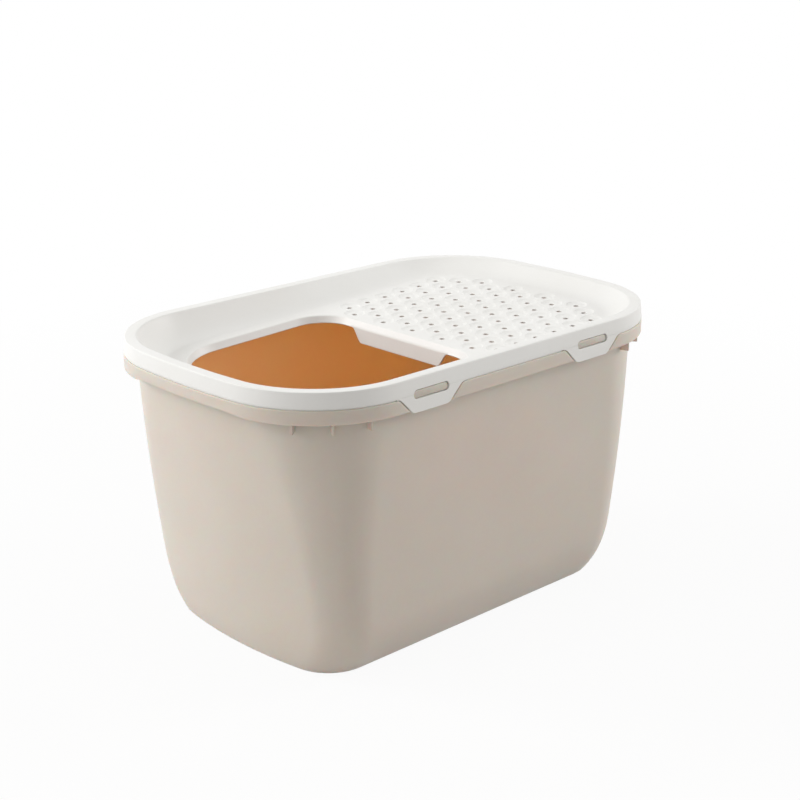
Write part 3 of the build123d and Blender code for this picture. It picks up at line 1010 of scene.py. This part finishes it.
def makeGusset():
    # One rib, radial along +X from the middle of a corner.
    inner = rimPlan["cornerRadius"] - binShape["overhang"] - gussetShape["root"]
    outer = rimPlan["cornerRadius"] - gussetShape["inset"]
    half = (outer - inner) / 2
    low = skirtBottom - gussetShape["drop"]
    high = rimTop - binShape["rimThickness"] / 2
    thick = gussetShape["thickness"] / 2
    edge = gussetShape["corner"] / 2

    def outline(grow):
        box = roundedBox(half + grow, low - grow, high + grow, gussetShape["corner"] + grow)
        return [(x + (outer + inner) / 2, z) for x, z in box]

    soft = edge * gussetShape["softness"]
    levels = [(-thick, -edge), (soft - thick, -soft), (edge - thick, 0)]
    rib = prism("gusset", outline, levels + [(-y, grow) for y, grow in levels[::-1]])
    # marked as a rib, so it takes the darker painted-shade colour
    mark = rib.data.attributes.new("inside", "FLOAT", "POINT")
    mark.data.foreach_set("value", [-1.0] * len(rib.data.vertices))
    return rib


def makeBin(outside, inside, ribs):
    shell = makeBinShell()
    thick = binShape["rimThickness"]
    lugGap = latchShape["lugGap"]
    lug = latchShape["lugThickness"]
    pocketY = lidShape["wall"] + lugGap - halfWidth
    lugTop = latchShape["slotMiddle"] + latchShape["slotHeight"] / 2 - latchShape["lugShrink"]
    lugY = pocketY + lidShape["skirtLean"] * (lugTop - rimTop) / lidShape["skirtHeight"]
    padHalf = latchShape["rootHalf"] + latchShape["pocketGap"] + thick
    lugHalf = latchShape["slotLength"] / 2 - latchShape["lugShrink"]
    lugCorner = latchShape["slotCorner"] - latchShape["lugShrink"]
    edge = latchShape["pocketEdge"]
    soft = latchShape["lugEdge"]
    bossFront = latchShape["bossSink"] - halfWidth
    bossGap = latchShape["bossShrink"]

    def lugOutline(grow):
        return roundedBox(lugHalf + grow, rimTop - latchShape["lugRoot"], lugTop + grow, lugCorner)

    def padOutline(grow):
        return roundedBox(padHalf, skirtBottom, rimTop - thick / 2, edge)

    fittings = {
        "Pad": prism("pad", padOutline, [(pocketY - thick / 2, 0), (pocketY + lug, 0)]),
        "Pocket Cutter": prism("pocketCutter", pocketOutline, mouthLevels(edge, arcSteps["edge"], pocketY)),
        "Lug": prism("lug", lugOutline, [
            (lugY, -soft), (lugY + soft / 2, -soft / 4), (lugY + soft, 0), (lugY + lug, 0),
        ]),
        "Boss": leanBack(prism("boss", slotOutline, [
            (bossFront, -bossGap - soft), (bossFront + soft / 4, -bossGap - soft / 3),
            (bossFront + soft, -bossGap), (lugY + lug / 2, -bossGap),
        ])),
        "Gusset": makeGusset(),
    }
    runTree(shell, binTree(), {
        **fittings,
        "Latch X": latchX,
        "Corner X": straightEnd,
        "Corner Y": halfWidth - rimPlan["cornerRadius"],
        "Gussets": gussetShape["perCorner"],
        "First Angle": math.radians(gussetShape["firstAngle"]),
        "Angle Step": math.radians(gussetShape["angleStep"]),
        "Outside": outside,
        "Inside": inside,
        "Ribs": ribs,
    })
    for fitting in fittings.values():
        bpy.data.objects.remove(fitting)
    return shell


# the plastics, inside and out, and a darker colour for the gussets that paints the shade under the rim
lidFinish = {
    "colour": (0.86, 0.862, 0.845),
    "shade": (0.825, 0.822, 0.795),
    "roughness": 0.42,
    "grain": 0.000006,
    "wave": 0.00025,
}
binFinish = {
    "colour": (0.69, 0.645, 0.575),
    "shade": (0.66, 0.61, 0.54),
    "roughness": 0.46,
    "grain": 0.000008,
    "wave": 0.0003,
    "glow": 0.8,
    "glowColour": (1.0, 0.4, 0.25),
    "glowDepth": 0.005,
}
# darker than the bin's own colour: painted shade for the gussets, which hang in the shade under the rim
paintedShadeRibColours = {
    "colour": (0.62, 0.545, 0.475),
    "shade": (0.59, 0.515, 0.445),
    "roughness": 0.46,
    "grain": 0.000008,
    "wave": 0.0003,
}
insideFinish = {
    "colour": (0.79, 0.50, 0.32),
    "shade": (0.76, 0.46, 0.29),
    "roughness": 0.5,
    "grain": 0.000008,
    "wave": 0.0002,
    "glow": 1.0,             # share of the light that passes through the wall
    "glowColour": (1.0, 0.6, 0.45),
    "glowDepth": 0.016,
}


mouldShape = {
    "cloudScale": 9.0,
    "mottleScale": 320.0,
    "grainScale": 1500.0,
    "waveScale": 14.0,
    "detail": 3.0,
    "grainDetail": 2.0,
    "waveDetail": 1.0,
    "middle": 0.5,           # of a noise
    "evenShare": 0.4,        # share of the shade colour where nothing varies
    "cloudShade": 1.6,
    "mottleShade": 0.5,
    "cloudRoughness": 0.1,
    "mottleRoughness": 0.12,
}


def moulded(name, finish):
    # Moulded plastic: slight clouds and a mottle in the colour, a fine grain and a faint wave.
    material = bpy.data.materials.new(name)
    material.use_nodes = True
    tree = material.node_tree
    shader = tree.nodes["Principled BSDF"]
    start = Wire(tree)
    place = start.node("ShaderNodeTexCoord", output="Object")

    def noise(scale, detail):
        return start.node("ShaderNodeTexNoise", inputs={"Vector": place, "Scale": scale, "Detail": detail})

    shape = mouldShape
    clouds = noise(shape["cloudScale"], shape["detail"]) - shape["middle"]
    mottle = noise(shape["mottleScale"], shape["detail"]) - shape["middle"]
    grain = noise(shape["grainScale"], shape["grainDetail"])
    wave = noise(shape["waveScale"], shape["waveDetail"])
    share = clouds * shape["cloudShade"] + shape["evenShare"] + mottle * shape["mottleShade"]
    share = start.node("ShaderNodeClamp", inputs={"Value": share})
    colour = start.node("ShaderNodeMix", {"data_type": "RGBA"}, {     # 6, 7 and 2 are its colour sockets
        0: share, 6: (*finish["colour"], 1), 7: (*finish["shade"], 1),
    }, output=2)
    tree.links.new(colour.socket, shader.inputs["Base Color"])
    rough = finish["roughness"] + mottle * shape["mottleRoughness"] + clouds * shape["cloudRoughness"]
    tree.links.new(rough.socket, shader.inputs["Roughness"])
    height = grain * finish["grain"] + wave * finish["wave"]
    bump = start.node("ShaderNodeBump", inputs={"Height": height, "Distance": 1.0, "Strength": 1.0})
    tree.links.new(bump.socket, shader.inputs["Normal"])
    if finish.get("glow"):
        shader.inputs["Subsurface Weight"].default_value = finish["glow"]
        shader.inputs["Subsurface Radius"].default_value = finish["glowColour"]
        shader.inputs["Subsurface Scale"].default_value = finish["glowDepth"]
    return material


stageShape = {
    "lens": 75.627,
    "shiftX": 0.01051,
    "shiftY": -0.0041,
    "azimuth": -43.767,
    "elevation": 18.2,
    "distance": 1.9029,
    "targetHeight": 0.230915,
    "floorSize": 60.0,
    "worldStrength": 0.41,
    "worldColour": (1.0, 0.97, 0.94),
    "paperColour": (0.75, 0.74, 0.73),
    "paperRoughness": 0.9,
    "paperWhite": 0.93,      # the rest of what the camera sees of the floor is its shading
    "whiteFrom": 0.5,        # metres from the middle at which the floor starts to whiten
    "whiteTo": 1.4,
    "lampTarget": (0, 0, 0.16),
}
lights = {
    "left": (21.0, 1.5, (-2.85, 1.05, 1.5)),     # watts, size and place
    "back": (52.0, 1.5, (-1.95, 2.4, 1.8)),
    "right": (46.0, 1.5, (2.85, -1.5, 1.35)),
    "top": (8.6, 1.2, (0, 0, 2.2)),
}


def whiteToCamera(tree, surface, strength):
    # White where the camera or a reflection sees it, and the given shader for the light it gives.
    start = Wire(tree, surface.outputs[0])
    seen = start.node("ShaderNodeLightPath", output="Is Camera Ray")
    path = seen
    for ray in ("Is Glossy Ray", "Is Transmission Ray"):
        seen = start.maths("MAXIMUM", seen, path.other(ray))
    kind = "ShaderNodeBackground" if surface.type == "BACKGROUND" else "ShaderNodeEmission"
    white = start.node(kind, inputs={"Color": (1, 1, 1, 1), "Strength": 1.0})
    return start.node("ShaderNodeMixShader", inputs={0: seen * strength, 1: start, 2: white}).socket


def makeStage():
    world = bpy.data.worlds.new("studio")
    bpy.context.scene.world = world
    world.use_nodes = True
    tree = world.node_tree
    sky = tree.nodes["Background"]
    sky.inputs["Color"].default_value = (*stageShape["worldColour"], 1)
    sky.inputs["Strength"].default_value = stageShape["worldStrength"]
    tree.links.new(whiteToCamera(tree, sky, 1.0), tree.nodes["World Output"].inputs["Surface"])

    mesh = bmesh.new()
    bmesh.ops.create_grid(mesh, x_segments=1, y_segments=1, size=stageShape["floorSize"] / 2)
    floor = makeObject("floor", mesh)
    paper = bpy.data.materials.new("paper")
    paper.use_nodes = True
    tree = paper.node_tree
    shader = tree.nodes["Principled BSDF"]
    shader.inputs["Base Color"].default_value = (*stageShape["paperColour"], 1)
    shader.inputs["Roughness"].default_value = stageShape["paperRoughness"]
    start = Wire(tree)
    place = start.node("ShaderNodeTexCoord", output="Object")
    away = start.node("ShaderNodeVectorMath", {"operation": "LENGTH"}, {0: place}, output="Value")
    share = start.node("ShaderNodeMapRange", inputs={
        "Value": away,
        "From Min": stageShape["whiteFrom"],
        "From Max": stageShape["whiteTo"],
        "To Min": stageShape["paperWhite"],
        "To Max": 1.0,
    })
    tree.links.new(whiteToCamera(tree, shader, share), tree.nodes["Material Output"].inputs["Surface"])
    floor.data.materials.append(paper)

    target = Vector(stageShape["lampTarget"])
    for name, (power, size, place) in lights.items():
        lamp = bpy.data.lights.new(name, "AREA")
        lamp.energy = power
        lamp.shape = "DISK"
        lamp.size = size
        light = bpy.data.objects.new(name, lamp)
        light.location = place
        light.rotation_euler = (light.location - target).to_track_quat("Z", "Y").to_euler()
        bpy.context.scene.collection.objects.link(light)

    camera = bpy.data.objects.new("camera", bpy.data.cameras.new("camera"))
    camera.data.lens = stageShape["lens"]
    camera.data.shift_x = stageShape["shiftX"]
    camera.data.shift_y = stageShape["shiftY"]
    azimuth = math.radians(stageShape["azimuth"])
    elevation = math.radians(stageShape["elevation"])
    back = Vector((
        math.sin(azimuth) * math.cos(elevation), -math.cos(azimuth) * math.cos(elevation), math.sin(elevation)
    ))
    camera.location = Vector((0, 0, stageShape["targetHeight"])) + back * stageShape["distance"]
    camera.rotation_euler = back.to_track_quat("Z", "Y").to_euler()
    bpy.context.scene.collection.objects.link(camera)
    bpy.context.scene.camera = camera
    bpy.context.scene.view_settings.view_transform = "Standard"


lidPlastic = moulded("lidPlastic", lidFinish)
binPlastic = moulded("binPlastic", binFinish)
insidePlastic = moulded("insidePlastic", insideFinish)
# the gussets' material, its colour darkened as painted shade
ribPlastic = moulded("ribPlastic", paintedShadeRibColours)
print("plastics made")

lidPiece = makeLid(lidPlastic)
lidPiece.name = "lid_shell"
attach(lidPiece, "lid")
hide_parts("lid")
print("lid made,", len(lidPiece.data.polygons), "faces")

latchTree = tabTree()
for node in frame["nodes"]:
    if node.startswith("latch_tab"):
        tabPiece = makeTab(node, latchTree, lidPlastic)
        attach(tabPiece, node)
        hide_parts(node)
        print(tabPiece.name, "made")

binPiece = makeBin(binPlastic, insidePlastic, ribPlastic)
binPiece.name = "bin_shell"
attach(binPiece, "bin")
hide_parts("bin")
print("bin made,", len(binPiece.data.polygons), "faces")

makeStage()
print("stage, lamps and camera placed")
